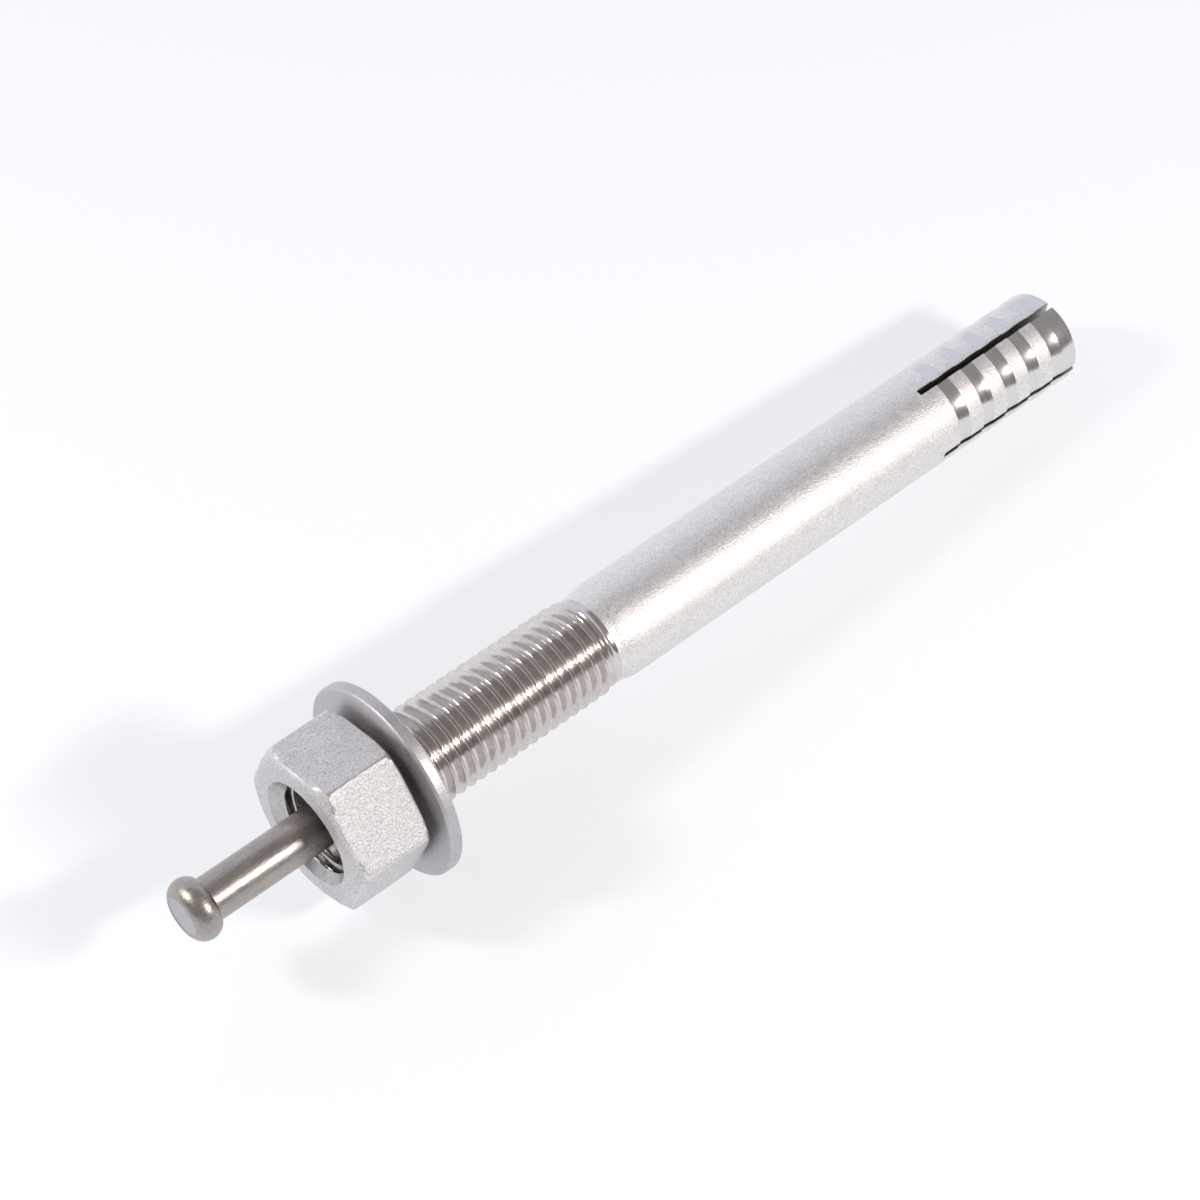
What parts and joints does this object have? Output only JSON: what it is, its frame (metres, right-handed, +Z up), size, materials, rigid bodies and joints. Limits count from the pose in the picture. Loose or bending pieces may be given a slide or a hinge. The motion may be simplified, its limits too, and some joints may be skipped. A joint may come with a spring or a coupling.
{
  "type": "nail anchor",
  "caption": "Stainless hammer-set expansion anchor: slotted, ring-grooved shank with a threaded stud, hexagon nut, flat washer and a headed drive pin through its bore.",
  "frame": {"origin": "on the ground that the anchor lies on, below the middle of its whole length", "axes": "+X level, from the head of the drive pin towards the slotted expansion end; +Z up. The anchor's own axis leans 3.29 degrees down towards +X, because it lies on its washer and its end"},
  "size_m": [0.1774, 0.032, 0.032],
  "materials": {
    "body_steel": "matte blasted stainless shank, machined grooves and bright rolled thread",
    "pin_steel": "satin drawn wire, slightly brown",
    "nut_steel": "satin stainless with polished edges",
    "washer_steel": "satin punched stainless with a tumbled rim"
  },
  "bodies": {
    "anchor": {"anchor_body": "body_steel"},
    "washer": {"flat_washer": "washer_steel"},
    "nut": {"hex_nut": "nut_steel"},
    "pin": {"drive_pin": "pin_steel"}
  },
  "joints": [
    {"name": "washer_slide", "type": "slide", "parent": "anchor", "child": "washer", "axis": [0.9984, 0, -0.0574], "range_m": [-0.008, 0.04]},
    {"name": "nut_spin", "type": "hinge", "parent": "washer", "child": "nut", "pos_m": [-0.06037, 0, 0.01651], "axis": [0.9984, 0, -0.0574], "range_deg": [-1440, 7200]},
    {"name": "pin_drive", "type": "slide", "parent": "anchor", "child": "pin", "axis": [0.9984, 0, -0.0574], "range_m": [0, 0.02295]}
  ],
  "couplings": [
    {"joint": "washer_slide", "follows": "nut_spin", "m_per_rad": 0.00031831}
  ]
}
